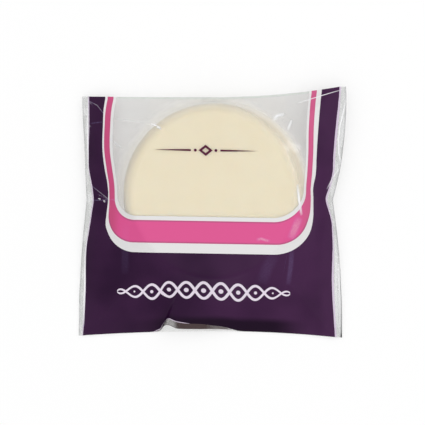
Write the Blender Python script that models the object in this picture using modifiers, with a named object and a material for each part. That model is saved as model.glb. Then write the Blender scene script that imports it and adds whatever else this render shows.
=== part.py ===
"""A round foam make-up sponge in its clear printed film pouch.

The pouch lies on its back: +Z points out of its printed front, +Y to its folded end and -Y out of
its mouth. The origin is on the table, under the middle of the foam disc. All lengths are in metres.

The pouch is one web of film, folded at the top and welded down both sides. The disc holds the two
panels apart, so the web is drawn in at the waist, lifted along its welds and buckled at its mouth.
"""

import math

import bmesh
import bpy

# The foam disc
DISC_RADIUS = 0.0375
DISC_THICKNESS = 0.0140
RIM_WIDTH = 0.0050
FACE_CROWN = 0.0004

# The film, and the gap that is kept between pieces that touch
FILM_THICKNESS = 0.0001
TOUCH_GAP = 0.0003

# The web is folded round this radius at the top, and its panels part by it at the welds
FOLD_RADIUS = 0.00025
FOLD_LIP = 0.0006
WELD_WIDTH = 0.0025

# The room that the panels leave around the disc
HEAD_ROOM = 0.0014
MOUTH_ROOM = 0.0195
LEFT_ROOM = 0.0127
RIGHT_ROOM = 0.0088

# The sides are drawn in most at the waist, a little below the disc's middle, and flare to their corners
WAIST_DROP = 0.0025
LEFT_TOP_FLARE = 0.0017
LEFT_MOUTH_FLARE = 0.0033
RIGHT_TOP_FLARE = 0.0053
RIGHT_MOUTH_FLARE = 0.0038

# How far the corners stand past the middle of the fold and of the mouth
LEFT_TOP_RISE = 0.0004
RIGHT_TOP_RISE = 0.0043
LEFT_MOUTH_DROP = 0.0017
RIGHT_MOUTH_DROP = 0.0025

# Heights of the pouch's edge above the table
FOLD_HEIGHT = 0.0055
LEFT_TOP_HEIGHT = 0.0030
LEFT_WAIST_HEIGHT = 0.0040
LEFT_MOUTH_HEIGHT = 0.0008
RIGHT_TOP_HEIGHT = 0.0070
RIGHT_WAIST_HEIGHT = 0.0050
RIGHT_MOUTH_HEIGHT = 0.0015

# How suddenly a side turns at its waist: 0 is a straight run to the corner, 1 a square-law curve
LEFT_TOP_TURN_SHARE = 0.0
LEFT_MOUTH_TURN_SHARE = 1.0
RIGHT_TOP_TURN_SHARE = 1.3
RIGHT_MOUTH_TURN_SHARE = 1.3

# The front film's buckle at the mouth: its peak is left of the middle, its right flank is the long one
BUCKLE_OFFSET = 0.0191
BUCKLE_LEFT_RUN = 0.0050
BUCKLE_RIGHT_RUN = 0.0297
BUCKLE_HEIGHT = 0.0080
BUCKLE_RECESS = 0.0058

# How finely the surfaces are divided
DISC_STEPS = 72
RIM_STEPS = 5
SIDE_STEPS = 14
TOP_STEPS = 16
MOUTH_STEPS = (7, 4, 12, 11)
BEND_STEPS = 4
SLOPE_STEPS = 5
FLOOR_STEPS = 5
FOLD_STEPS = 6

# Heights that follow from the sizes above
FLOOR = FILM_THICKNESS / 2
SEAT = FILM_THICKNESS + TOUCH_GAP
DISC_MIDDLE = SEAT + DISC_THICKNESS / 2
FACE_RADIUS = DISC_RADIUS - RIM_WIDTH
FILM_OFFSET = TOUCH_GAP + FILM_THICKNESS / 2
FILM_LEVEL = SEAT + DISC_THICKNESS + FILM_OFFSET
FLAT_EDGE = FLOOR + FOLD_RADIUS
WAIST = -WAIST_DROP

# Colours and roughness of the materials
FOAM = ((0.80, 0.74, 0.57, 1.0), 0.95)
PRINTED_FILM = ((0.046, 0.014, 0.054, 1.0), 0.18)
CLEAR_FILM = ((0.72, 0.71, 0.70, 0.45), 0.15)
WELDED_FILM = ((0.76, 0.75, 0.74, 0.6), 0.22)


class SideEdge:
    """One side of the two panels, where they meet their weld. sign is -1 on the left, 1 on the right."""

    def __init__(self, sign, room, flares, ends, heights, turn_shares):
        self.sign = sign
        self.room = room
        self.mouth_flare, self.top_flare = flares
        self.mouth_drop, self.top_rise = ends
        self.mouth_height, self.waist_height, self.top_height = heights
        self.mouth_turn_share, self.top_turn_share = turn_shares

    def top_corner_y(self):
        return DISC_RADIUS + HEAD_ROOM + self.top_rise

    def mouth_corner_y(self):
        return -(DISC_RADIUS + MOUTH_ROOM + self.mouth_drop)

    def point(self, y):
        """The edge's point at y, as (x, y, height above the table)."""
        above = y > WAIST
        corner_y = self.top_corner_y() if above else self.mouth_corner_y()
        share = min((y - WAIST) / (corner_y - WAIST), 1.0)
        turn_share = self.top_turn_share if above else self.mouth_turn_share
        flare = self.top_flare if above else self.mouth_flare
        corner_height = self.top_height if above else self.mouth_height
        drawn_in = (1 - share) * (1 - turn_share * share)
        out = DISC_RADIUS + self.room + flare * (1 - drawn_in)
        height = corner_height + (self.waist_height - corner_height) * drawn_in
        return self.sign * out, y, height

    def top_corner_x(self):
        return self.point(self.top_corner_y())[0]

    def mouth_corner_x(self):
        return self.point(self.mouth_corner_y())[0]


LEFT = SideEdge(
    -1,
    LEFT_ROOM,
    (LEFT_MOUTH_FLARE, LEFT_TOP_FLARE),
    (LEFT_MOUTH_DROP, LEFT_TOP_RISE),
    (LEFT_MOUTH_HEIGHT, LEFT_WAIST_HEIGHT, LEFT_TOP_HEIGHT),
    (LEFT_MOUTH_TURN_SHARE, LEFT_TOP_TURN_SHARE),
)
RIGHT = SideEdge(
    1,
    RIGHT_ROOM,
    (RIGHT_MOUTH_FLARE, RIGHT_TOP_FLARE),
    (RIGHT_MOUTH_DROP, RIGHT_TOP_RISE),
    (RIGHT_MOUTH_HEIGHT, RIGHT_WAIST_HEIGHT, RIGHT_TOP_HEIGHT),
    (RIGHT_MOUTH_TURN_SHARE, RIGHT_TOP_TURN_SHARE),
)


def spread(start, end, steps):
    """The values from start up to, but without, end."""
    return [start + (end - start) * step / steps for step in range(steps)]


def outside_path(x, y):
    """How far a point lies outside the flat path that the disc rests on and slides out along."""
    reach = abs(x) if y < 0 else math.hypot(x, y)
    return max(reach - FACE_RADIUS, 0.0)


def fold_point(x):
    """The panels' folded end at x, as (x, y, height)."""
    side = LEFT if x < 0 else RIGHT
    share = x / side.top_corner_x()
    y = DISC_RADIUS + HEAD_ROOM + side.top_rise * share**2
    height = FOLD_HEIGHT + (side.top_height - FOLD_HEIGHT) * share**2
    return x, y, height


def mouth_point(x):
    """The back panel's free edge at x, as (x, y, height)."""
    side = LEFT if x < 0 else RIGHT
    corner_x, corner_y = side.mouth_corner_x(), side.mouth_corner_y()
    y = -(DISC_RADIUS + MOUTH_ROOM) - side.mouth_drop * (x / corner_x) ** 2
    rise_share = outside_path(x, y) / outside_path(corner_x, corner_y)
    return x, y, FLAT_EDGE + (side.mouth_height - FLAT_EDGE) * rise_share**2


def buckle_share(x):
    """How much of its full height the front film's buckle has above x at the mouth."""
    away = x + BUCKLE_OFFSET
    run = BUCKLE_LEFT_RUN if away < 0 else BUCKLE_RIGHT_RUN
    near_share = max(1 - abs(away) / run, 0.0)
    if away < 0:
        return near_share * near_share * (3 - 2 * near_share)
    return near_share * (1 + near_share) / 2


def outline():
    """A panel's edge, anticlockwise from the mouth's left corner, as (x, y, height) points."""
    marks = [
        LEFT.mouth_corner_x(),
        -BUCKLE_OFFSET - BUCKLE_LEFT_RUN,
        -BUCKLE_OFFSET,
        -BUCKLE_OFFSET + BUCKLE_RIGHT_RUN,
        RIGHT.mouth_corner_x(),
    ]
    mouth = [
        mouth_point(x)
        for start, end, steps in zip(marks, marks[1:], MOUTH_STEPS)
        for x in spread(start, end, steps)
    ]
    right = [RIGHT.point(y) for y in side_rows(RIGHT, RIGHT.top_corner_y())[:-1]]
    top = [fold_point(x) for x in spread(RIGHT.top_corner_x(), LEFT.top_corner_x(), TOP_STEPS)]
    left = [LEFT.point(y) for y in side_rows(LEFT, LEFT.top_corner_y())[:0:-1]]
    return mouth + right + top + left


def side_rows(side, top):
    """The places along a side, from its mouth corner up to top, with one at the waist."""
    below = spread(side.mouth_corner_y(), WAIST, SIDE_STEPS // 2)
    above = spread(WAIST, top, SIDE_STEPS - SIDE_STEPS // 2)
    return below + above + [top]


def front_ray(x, y, height):
    """The front film, from the disc's face out to the edge point, as points.

    It lies on the face, bends over the rounded rim, and leaves the rim along the tangent that meets
    the edge. Near the mouth it is lifted and drawn back by the buckle, which fades towards the disc.
    """
    reach = math.hypot(x, y)
    bend_width = RIM_WIDTH + FILM_OFFSET
    bend_height = DISC_THICKNESS / 2 + FILM_OFFSET
    edge_height = height + FOLD_RADIUS
    across = (reach - FACE_RADIUS) / bend_width
    down = (edge_height - DISC_MIDDLE) / bend_height
    leave = math.atan2(down, across) + math.acos(min(1 / math.hypot(across, down), 1.0))
    inner = FACE_RADIUS / 2
    points = [(x * inner / reach, y * inner / reach, FILM_LEVEL + crown_at(inner))]
    for angle in spread(math.pi / 2, leave, BEND_STEPS) + [leave]:
        radius = FACE_RADIUS + bend_width * math.cos(angle)
        z = DISC_MIDDLE + bend_height * math.sin(angle)
        points.append((x * radius / reach, y * radius / reach, z))
    rim_x, rim_y, rim_z = points[-1]
    buckle = buckle_share(x) if y < WAIST else 0.0
    for step in range(1, SLOPE_STEPS + 1):
        share = step / SLOPE_STEPS
        lift = buckle * share**2
        slope_x = rim_x + (x - rim_x) * share
        slope_y = rim_y + (y - rim_y) * share + BUCKLE_RECESS * lift
        points.append((slope_x, slope_y, rim_z + (edge_height - rim_z) * share + BUCKLE_HEIGHT * lift))
    return points


def back_ray(x, y, height):
    """The back film, from under the disc out to the edge point, as points.

    It is flat on the table under the disc and along the disc's way out, and rises to the pouch's edge.
    """
    reach = math.hypot(x, y)
    edge_out = outside_path(x, y)
    points = []
    for radius in [FACE_RADIUS / 2] + spread(FACE_RADIUS, reach, FLOOR_STEPS) + [reach]:
        place_x, place_y = x * radius / reach, y * radius / reach
        share = outside_path(place_x, place_y) / edge_out if edge_out else 0.0
        points.append((place_x, place_y, FLOOR + (height - FOLD_RADIUS - FLOOR) * share**2))
    return points


def crown_at(radius):
    """How far the disc's face swells above its rim at a radius."""
    return FACE_CROWN * (1 - (radius / FACE_RADIUS) ** 2)


def make_object(name, mesh, collection, material, parent):
    """Adds a mesh to the scene as a named piece."""
    piece = bpy.data.objects.new(name, mesh)
    collection.objects.link(piece)
    piece.data.materials.append(material)
    piece.parent = parent
    return piece


def make_material(name, look):
    """A Principled material with a colour and a roughness."""
    colour, roughness = look
    material = bpy.data.materials.new(name)
    material.use_nodes = True
    shader = material.node_tree.nodes["Principled BSDF"]
    shader.inputs["Base Color"].default_value = colour
    shader.inputs["Alpha"].default_value = colour[3]
    shader.inputs["Roughness"].default_value = roughness
    shader.inputs["Metallic"].default_value = 0.0
    return material


def add_thickness(piece, thickness):
    """Turns an open surface into a sheet, half of its thickness on each side."""
    wall = piece.modifiers.new("film thickness", "SOLIDIFY")
    wall.thickness = thickness
    wall.offset = 0.0


def rows_to_mesh(name, rows, middle=None):
    """A surface through rows of points. With a middle, the rows are rays that go round it."""
    build = bmesh.new()
    verts = [[build.verts.new(point) for point in row] for row in rows]
    if middle is not None:
        hub = build.verts.new(middle)
        verts.append(verts[0])
    for row, following in zip(verts, verts[1:]):
        for a, b, c, d in zip(row, row[1:], following[1:], following):
            build.faces.new((a, b, c, d))
        if middle is not None:
            build.faces.new((hub, row[0], following[0]))
    mesh = bpy.data.meshes.new(name)
    build.to_mesh(mesh)
    build.free()
    mesh.shade_smooth()
    return mesh


def panel_mesh(name, ray, middle_height):
    """A panel as a loft from the disc's round face to the pouch's four-sided edge."""
    rays = [ray(x, y, height) for x, y, height in outline()]
    return rows_to_mesh(name, rays, (0.0, 0.0, middle_height))


def foam_disc(name):
    """The disc's section, from the middle of its face down over the rim, for a Screw to turn."""
    section = [(0.0, SEAT + DISC_THICKNESS + FACE_CROWN)]
    section.append((FACE_RADIUS / 2, SEAT + DISC_THICKNESS + crown_at(FACE_RADIUS / 2)))
    for step in range(2 * RIM_STEPS + 1):
        angle = math.pi / 2 - math.pi / 2 * step / RIM_STEPS
        radius = FACE_RADIUS + RIM_WIDTH * math.cos(angle)
        section.append((radius, DISC_MIDDLE + DISC_THICKNESS / 2 * math.sin(angle)))
    section.append((0.0, SEAT))
    mesh = bpy.data.meshes.new(name)
    points = [(radius, 0.0, height) for radius, height in section]
    mesh.from_pydata(points, [(i, i + 1) for i in range(len(points) - 1)], [])
    return mesh


def turn(piece):
    """Turns a section round Z into a closed body."""
    screw = piece.modifiers.new("turn", "SCREW")
    screw.axis = "Z"
    screw.steps = DISC_STEPS
    screw.render_steps = DISC_STEPS
    screw.use_merge_vertices = True
    screw.merge_threshold = FILM_THICKNESS / 10
    screw.use_smooth_shade = True


def weld_mesh(name, side):
    """A strip of welded film along one side, from the mouth to the outside of the fold."""
    past_panels = TOUCH_GAP + FOLD_LIP + FOLD_RADIUS
    rows = []
    for y in side_rows(side, side.top_corner_y() + past_panels):
        x, _, height = side.point(y)
        inner = x + side.sign * TOUCH_GAP
        outer = inner + side.sign * WELD_WIDTH
        pair = [(inner, y, height), (outer, y, height)]
        rows.append(pair if side.sign < 0 else pair[::-1])
    return rows_to_mesh(name, rows)


def fold_mesh(name):
    """The film's turn at the top: a half round between two short lips."""
    rows = []
    for x in spread(LEFT.top_corner_x(), RIGHT.top_corner_x(), TOP_STEPS) + [RIGHT.top_corner_x()]:
        _, panel_end, height = fold_point(x)
        lip_y = panel_end + TOUCH_GAP
        row = [(x, lip_y, height + FOLD_RADIUS)]
        for step in range(FOLD_STEPS + 1):
            angle = math.pi / 2 - math.pi * step / FOLD_STEPS
            bend_y = lip_y + FOLD_LIP + FOLD_RADIUS * math.cos(angle)
            row.append((x, bend_y, height + FOLD_RADIUS * math.sin(angle)))
        row.append((x, lip_y, height - FOLD_RADIUS))
        rows.append(row[::-1])
    return rows_to_mesh(name, rows)


def build():
    for old in list(bpy.data.objects):
        bpy.data.objects.remove(old)
    collection = bpy.data.collections.new("makeup_sponge")
    bpy.context.scene.collection.children.link(collection)
    pouch = bpy.data.objects.new("pouch_frame", None)
    collection.objects.link(pouch)

    sponge = make_object("sponge", foam_disc("sponge"), collection, make_material("foam", FOAM), pouch)
    turn(sponge)

    front = make_object(
        "front_panel",
        panel_mesh("front_panel", front_ray, FILM_LEVEL + FACE_CROWN),
        collection,
        make_material("printed_film", PRINTED_FILM),
        pouch,
    )
    add_thickness(front, FILM_THICKNESS)

    back = make_object(
        "back_panel",
        panel_mesh("back_panel", back_ray, FLOOR),
        collection,
        make_material("clear_film", CLEAR_FILM),
        pouch,
    )
    add_thickness(back, FILM_THICKNESS)

    fold = make_object(
        "top_fold", fold_mesh("top_fold"), collection, make_material("folded_film", CLEAR_FILM), pouch
    )
    add_thickness(fold, FILM_THICKNESS)

    for name, side in (("left_side_weld", LEFT), ("right_side_weld", RIGHT)):
        material = make_material(name, WELDED_FILM)
        weld = make_object(name, weld_mesh(name, side), collection, material, pouch)
        add_thickness(weld, 2 * FILM_THICKNESS)


build()
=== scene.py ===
# %% [markdown]
# # A round make-up sponge in its printed film pouch
#
# The sponge is a disc of fine foam, sold in a flat pouch of clear film. One web of film is folded at
# the top, welded down both sides and left open at the bottom, and the disc slides out through that
# mouth. The front is printed with a frame of stripes round a clear window.
#
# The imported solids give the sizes, the places and the motion. This lesson makes the surfaces that are
# seen: soft foam, film that is stretched over it, creases, seals and ink.

import math

import bpy
import numpy as np
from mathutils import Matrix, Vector, noise


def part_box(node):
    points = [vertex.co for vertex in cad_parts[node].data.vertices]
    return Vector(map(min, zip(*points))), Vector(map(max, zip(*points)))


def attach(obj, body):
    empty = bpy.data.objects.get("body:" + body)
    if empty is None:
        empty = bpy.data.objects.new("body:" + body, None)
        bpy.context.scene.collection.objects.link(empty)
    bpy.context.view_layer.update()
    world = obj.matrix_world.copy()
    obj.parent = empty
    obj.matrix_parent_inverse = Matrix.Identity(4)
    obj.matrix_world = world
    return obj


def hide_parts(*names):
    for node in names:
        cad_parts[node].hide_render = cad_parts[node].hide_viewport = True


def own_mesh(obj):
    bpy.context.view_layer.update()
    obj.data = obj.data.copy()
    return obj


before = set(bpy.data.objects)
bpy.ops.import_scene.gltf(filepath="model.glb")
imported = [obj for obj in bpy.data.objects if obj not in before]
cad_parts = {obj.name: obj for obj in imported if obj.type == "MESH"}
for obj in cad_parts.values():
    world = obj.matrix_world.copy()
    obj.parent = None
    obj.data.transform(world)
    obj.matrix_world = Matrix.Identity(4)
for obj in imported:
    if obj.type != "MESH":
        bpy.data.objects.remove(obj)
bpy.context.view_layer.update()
print("packed nodes:", sorted(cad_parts))

# %% [markdown]
# ## The sizes
#
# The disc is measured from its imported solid, and the rest are the sizes that the pouch was cut and
# folded to. The origin is on the table under the disc's middle, +Y points to the fold and -Y out of
# the mouth. Writing each size once, in millimetres, keeps the pieces in step with each other.

# %% Sizes of the disc and the film
MM = 0.001

disc_low, disc_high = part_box("sponge")
DISC_RADIUS = (disc_high.x - disc_low.x) / 2
FACE_CROWN = 0.4 * MM
RIM_WIDTH = 5.0 * MM
FACE_RADIUS = DISC_RADIUS - RIM_WIDTH
SEAT = disc_low.z
HALF_THICKNESS = (disc_high.z - FACE_CROWN - SEAT) / 2
DISC_MIDDLE = SEAT + HALF_THICKNESS

FILM = 0.1 * MM
TOUCH_GAP = 0.3 * MM
FILM_OFFSET = TOUCH_GAP + FILM / 2
FLOOR = FILM / 2
FOLD_RADIUS = 0.25 * MM
FOLD_LIP = 0.6 * MM
WELD_WIDTH = 2.5 * MM

HEAD_ROOM = 1.4 * MM
MOUTH_ROOM = 19.5 * MM
WAIST = -2.5 * MM
FOLD_HEIGHT = 5.5 * MM
print(f"disc {2 * DISC_RADIUS / MM:.1f} mm across, {2 * HALF_THICKNESS / MM:.1f} mm thick")

# %% [markdown]
# ## The pouch's outline
#
# The disc holds the two panels apart, so the flat pouch is drawn in at its waist and its corners
# stand out. Each side could be drawn as a curve, but a formula with a few sizes is easier to adjust:
# how far the side stands from the disc at the waist, and how far and how high its two corners go.


# %% The sides
class Side:
    """One side of the pouch, at the inner edge of its seal. sign is -1 on the left, 1 on the right."""

    def __init__(self, sign, room, waist_height, mouth, top):
        self.sign = sign
        self.room = room
        self.waist_height = waist_height
        self.mouth_flare, self.mouth_drop, self.mouth_height, self.mouth_turn = mouth
        self.top_flare, self.top_rise, self.top_height, self.top_turn = top
        self.mouth_y = -(DISC_RADIUS + MOUTH_ROOM + self.mouth_drop)
        self.top_y = DISC_RADIUS + HEAD_ROOM + self.top_rise
        self.mouth_x, self.top_x = self.at(self.mouth_y)[0], self.at(self.top_y)[0]

    def at(self, y):
        """x and height of the seal's inner edge at each y."""
        above = y > WAIST
        share = np.where(above, (y - WAIST) / (self.top_y - WAIST), (WAIST - y) / (WAIST - self.mouth_y))
        share = np.minimum(share, 1.0)
        turn = np.where(above, self.top_turn, self.mouth_turn)
        drawn_in = (1 - share) * (1 - turn * share)
        flare = np.where(above, self.top_flare, self.mouth_flare)
        corner_height = np.where(above, self.top_height, self.mouth_height)
        out = DISC_RADIUS + self.room + flare * (1 - drawn_in) + TOUCH_GAP
        return self.sign * out, corner_height + (self.waist_height - corner_height) * drawn_in


# Each corner: how far it flares, how far it reaches, its height and how soon the side turns out
LEFT = Side(
    -1, 12.7 * MM, 4.0 * MM,
    mouth=(3.3 * MM, 1.7 * MM, 0.8 * MM, 1.0),
    top=(1.7 * MM, 0.4 * MM, 3.0 * MM, 0.0),
)
RIGHT = Side(
    1, 8.8 * MM, 5.0 * MM,
    mouth=(3.8 * MM, 2.5 * MM, 1.5 * MM, 1.3),
    top=(5.3 * MM, 4.3 * MM, 7.0 * MM, 1.3),
)


def of_side(x, size):
    """A size of the side that each x is on."""
    return np.where(x < 0, getattr(LEFT, size), getattr(RIGHT, size))


def fold_at(x):
    """y and height of the panels' folded end, where the fold's lip starts."""
    share = (x / of_side(x, "top_x")) ** 2
    y = DISC_RADIUS + HEAD_ROOM + of_side(x, "top_rise") * share + TOUCH_GAP
    return y, FOLD_HEIGHT + (of_side(x, "top_height") - FOLD_HEIGHT) * share


def outside_path(x, y):
    """How far a point lies outside the flat path that the disc rests on and slides out along."""
    reach = np.where(y < 0, np.abs(x), np.hypot(x, y))
    return np.maximum(reach - FACE_RADIUS, 0.0)


def mouth_at(x):
    """y and height of the back panel's free edge."""
    corner_x = of_side(x, "mouth_x")
    y = -(DISC_RADIUS + MOUTH_ROOM) - of_side(x, "mouth_drop") * (x / corner_x) ** 2
    rise_share = outside_path(x, y) / outside_path(corner_x, of_side(x, "mouth_y"))
    flat = FLOOR + FOLD_RADIUS
    return y, flat + (of_side(x, "mouth_height") - flat) * rise_share**2


print(f"pouch {(RIGHT.mouth_x - LEFT.mouth_x) / MM:.1f} mm between its seals at the mouth")

# %% [markdown]
# ## How a taut film lies
#
# A film over a disc does not drape as cloth does. It lies on the face, bends over the rounded rim and
# runs down from there to the pouch's edge. Because it is pulled tight round the disc as well, it hangs
# a little below the straight line, steep at the rim and nearly level at the seal. Seen from the disc's
# middle, every direction has the same kind of profile, so the height of any point follows from its
# direction, its distance and where the edge lies in that direction.

# %% The pouch's edge by direction
EDGE_SAMPLES = 240


def pouch_ring():
    """The panels' edge all round the disc: direction, distance and height, and 1 where it isn't welded."""
    parts = []
    for side in (LEFT, RIGHT):
        y = np.linspace(side.mouth_y, side.top_y, EDGE_SAMPLES)
        x, z = side.at(y)
        parts.append(np.array([x, y, z, np.zeros(EDGE_SAMPLES)]))
    for end_at, corner in ((mouth_at, 0), (fold_at, -1)):
        x = np.linspace(parts[0][0, corner], parts[1][0, corner], EDGE_SAMPLES)[1:-1]
        parts.append(np.array([x, *end_at(x), np.ones(EDGE_SAMPLES - 2)]))
    x, y, z, split = np.concatenate(parts, axis=1)
    turn = np.arctan2(y, x)
    order = np.argsort(turn)
    return [values[order] for values in (turn, np.hypot(x, y), z, split)]


RING_TURN, RING_REACH, RING_HEIGHT, RING_SPLIT = pouch_ring()


def ring_at(x, y, values):
    return np.interp(np.arctan2(y, x), RING_TURN, values, period=2 * math.pi)


# %% The height of the two films
HOLLOW = 1.45
SEARCH_STEPS = 24


def crown_at(reach):
    return FACE_CROWN * (1 - (np.minimum(reach, FACE_RADIUS) / FACE_RADIUS) ** 2)


def leave_turn(across, down):
    """Where round the rim's ellipse, as an angle, the film leaves it for an edge this far out and down."""
    low, high = np.zeros(across.shape), np.full(across.shape, math.pi / 2)
    for _ in range(SEARCH_STEPS):
        turn = (low + high) / 2
        too_low = (across - np.cos(turn)) * np.cos(turn) > HOLLOW * (np.sin(turn) - down) * np.sin(turn)
        low, high = np.where(too_low, turn, low), np.where(too_low, high, turn)
    return turn


def front_form(x, y):
    """Height of the taut front film, and how far out on its free slope each point is, from 0 to 1."""
    reach = np.hypot(x, y)
    edge_reach = ring_at(x, y, RING_REACH)
    edge_height = ring_at(x, y, RING_HEIGHT + FILM / 2 + (FOLD_RADIUS - FILM / 2) * RING_SPLIT)
    bend_width = RIM_WIDTH + FILM_OFFSET
    bend_height = HALF_THICKNESS + FILM_OFFSET
    leave = leave_turn((edge_reach - FACE_RADIUS) / bend_width, (edge_height - DISC_MIDDLE) / bend_height)
    leave_reach = FACE_RADIUS + bend_width * np.cos(leave)
    leave_height = DISC_MIDDLE + bend_height * np.sin(leave)
    bend = np.clip((reach - FACE_RADIUS) / bend_width, 0.0, 1.0)
    on_disc = DISC_MIDDLE + bend_height * np.sqrt(1 - bend**2) + crown_at(reach)
    slope_share = np.clip((reach - leave_reach) / (edge_reach - leave_reach), 0.0, 1.0)
    on_slope = edge_height + (leave_height - edge_height) * (1 - slope_share) ** HOLLOW
    return np.where(reach < leave_reach, on_disc, on_slope), slope_share


def back_form(x, y):
    """Height of the back film: flat under the disc and along its way out, rising to the pouch's edge."""
    edge_reach = ring_at(x, y, RING_REACH)
    edge_height = ring_at(x, y, RING_HEIGHT - FILM / 2 - (FOLD_RADIUS - FILM / 2) * RING_SPLIT)
    scale = edge_reach / np.maximum(np.hypot(x, y), MM)
    edge_out = outside_path(x * scale, y * scale)
    share = outside_path(x, y) / np.maximum(edge_out, FILM)
    return FLOOR + (edge_height - FLOOR) * np.minimum(share, 1.0) ** 2


print(f"welds {RIGHT.waist_height / MM:.1f} mm above the table at the right waist")

# %% [markdown]
# ## Creases and crinkles
#
# Clear film shows itself by its creases: each fold catches the light as a fine line. They are real
# ridges here, so that the light finds them. A crease is a line of chosen points with a height and a
# width. Each crease has a whiteness too, which the finish reads later: 1 is white. It is partly real
# and partly painted light: a sharp fold stretches the film until it turns white and some places are
# only scuffed, but most white lines are also painted glints, the bright line down the disc's right
# edge is a painted highlight, and the faintest, a few hundredths, are a painted violet sheen. Between
# the creases the film is broken up into wide, almost flat facets, which come from the cells of a
# Voronoi pattern.

# %% Creases
CREST = 0.2
WHITE_REACH = 1.2 * MM
FAR_OFF = 4.0


def along_line(x, y, points):
    """Distance to a broken line, above 0 on its left, and how far along the line it is, from 0 to 1."""
    points = np.array(points) * MM
    steps = np.hypot(*np.diff(points, axis=0).T)
    starts = np.concatenate([[0.0], np.cumsum(steps)])
    nearest = np.full(x.shape, np.inf)
    along = np.zeros(x.shape)
    for start, end, step, before in zip(points, points[1:], steps, starts):
        run_x, run_y = (end - start) / step
        reach = np.clip((x - start[0]) * run_x + (y - start[1]) * run_y, 0.0, step)
        off_x, off_y = x - start[0] - reach * run_x, y - start[1] - reach * run_y
        side = np.where(run_x * (y - start[1]) > run_y * (x - start[0]), 1.0, -1.0)
        gap = np.hypot(off_x, off_y)
        closer = gap < np.abs(nearest)
        nearest = np.where(closer, side * gap, nearest)
        along = np.where(closer, (before + reach) / starts[-1], along)
    return nearest, along


def tapered(along):
    """1 over the middle of a line, falling to 0 at both ends."""
    return np.clip(4 * along * (1 - along), 0.0, 1.0) ** 0.5


def crease(x, y, points, height, width, _):
    """A ridge that follows a line of points, sharp on top and tapered at both ends."""
    gap, along = along_line(x, y, points)
    return height * MM * tapered(along) * np.exp(CREST - np.sqrt((gap / (width * MM)) ** 2 + CREST**2))


def white_lines(x, y, creases):
    """How white the nearest white line is, and how many widths off its line each place is. The white stands
    for whitened film and for painted glints.

    It fades out beyond the line, or a false line would show where the nearest one changes.
    """
    white = np.zeros(x.shape)
    off_line = np.full(x.shape, FAR_OFF)
    for points, _, width, whiteness in creases:
        gap, along = along_line(x, y, points)
        fade = np.clip((WHITE_REACH + width * MM / 2 - np.abs(gap)) / (WHITE_REACH / 2), 0.0, 1.0)
        gap = gap / (width * MM)
        nearer = (whiteness > 0) & (np.abs(gap) < np.abs(off_line))
        white = np.where(nearer, whiteness * tapered(along) * fade, white)
        off_line = np.where(nearer, gap, off_line)
    return white, off_line


# Each crease: its points in millimetres, its height, its width and its whiteness, from whitened film and
# painted light
FRONT_CREASES = [
    ([(-52.5, 38.9), (-48.5, 36.8), (-45.5, 33.0)], 0.25, 0.5, 0.28),
    ([(-51.5, 29.3), (-46.0, 29.9)], 0.20, 0.8, 0.08),
    ([(-42.0, 31.2), (-33.0, 30.2), (-21.5, 27.0)], 0.30, 1.0, 0.12),
    ([(-27.0, 29.1), (-24.5, 28.2), (-21.5, 26.6)], 0.30, 1.6, 1.0),
    ([(-43.0, 22.6), (-38.0, 18.8)], 0.25, 0.7, 0.35),
    ([(-51.0, 3.6), (-44.0, -1.8), (-40.0, -3.0)], 0.30, 0.5, 0.3),
    ([(-54.5, -2.3), (-47.0, -2.6), (-40.0, -2.0)], -0.45, 0.6, 0.12),
    ([(-48.2, -1.9), (-47.0, -1.9)], 0.05, 0.7, 1.0),
    ([(-45.9, -2.2), (-45.3, -3.4)], 0.05, 0.7, 1.0),
    ([(-54.2, -2.3), (-52.0, -2.4)], 0.05, 0.6, 1.0),
    ([(-52.5, -57.0), (-44.0, -47.5), (-35.5, -38.0)], 0.45, 2.6, 0.0),
    ([(34.0, 37.4), (44.5, 40.7), (53.0, 43.2)], 0.35, 0.5, 1.0),
    ([(24.0, 30.0), (25.8, 32.2), (28.8, 32.9)], 0.40, 1.8, 1.0),
    ([(29.8, 25.4), (31.9, 30.6)], 0.35, 1.3, 0.75),
    ([(49.0, -2.4), (43.0, -1.4), (38.5, 1.5)], -0.25, 1.6, 0.0),
    # painted sheen: a faint violet streak and a wider patch on the purple, low on the right
    ([(31.9, -22.5), (31.5, -29.0), (30.4, -37.5)], 0.15, 3.0, 0.07),
    ([(24.5, -25.0), (21.6, -30.5), (19.4, -37.0)], 0.10, 7.0, 0.035),
    # painted highlight: the bright line down the disc's right edge, over a low ridge
    ([(34.1, 4.2), (34.4, 1.0), (34.8, -3.0), (35.8, -8.8)], 0.06, 1.6, 1.0),
    # painted sheen on the pink, below the painted highlight
    ([(35.0, -9.5), (32.9, -14.5), (31.2, -18.6)], 0.10, 4.6, 0.24),
    ([(17.2, -18.9), (19.2, -18.3), (20.8, -18.9), (22.8, -19.3)], 0.05, 1.7, 0.26),
    # painted sheen: a faint violet streak, low on the left
    ([(-36.3, -12.0), (-36.6, -21.0), (-36.9, -33.0)], 0.05, 4.5, 0.03),
    ([(49.5, -54.0), (43.0, -46.0), (36.0, -37.0)], 0.35, 2.4, 0.0),
]
EDGE_CREASES = [
    ([(54.9, 41.5), (53.2, 33.7), (51.8, 28.0), (51.2, 22.6), (51.5, 16.5), (52.6, 10.5)], 0.50, 1.1, 1.0),
    ([(52.4, 11.8), (49.0, 6.9), (46.5, 2.0)], 0.40, 0.7, 0.8),
    ([(52.0, -14.0), (52.2, -21.0), (51.8, -32.0), (52.3, -45.0), (52.6, -57.0)], 0.40, 1.1, 1.0),
    ([(50.2, -17.0), (50.5, -26.0), (50.4, -40.0), (50.9, -56.0)], 0.15, 1.8, 0.7),
    ([(-52.5, 39.0), (-52.6, 30.0), (-52.5, 20.0), (-52.3, 10.0)], 0.25, 0.9, 0.9),
    ([(-53.0, -18.0), (-53.6, -26.0), (-53.8, -38.0), (-54.3, -55.0)], 0.30, 1.0, 1.0),
]
print("creases:", len(FRONT_CREASES) + len(EDGE_CREASES))


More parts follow.
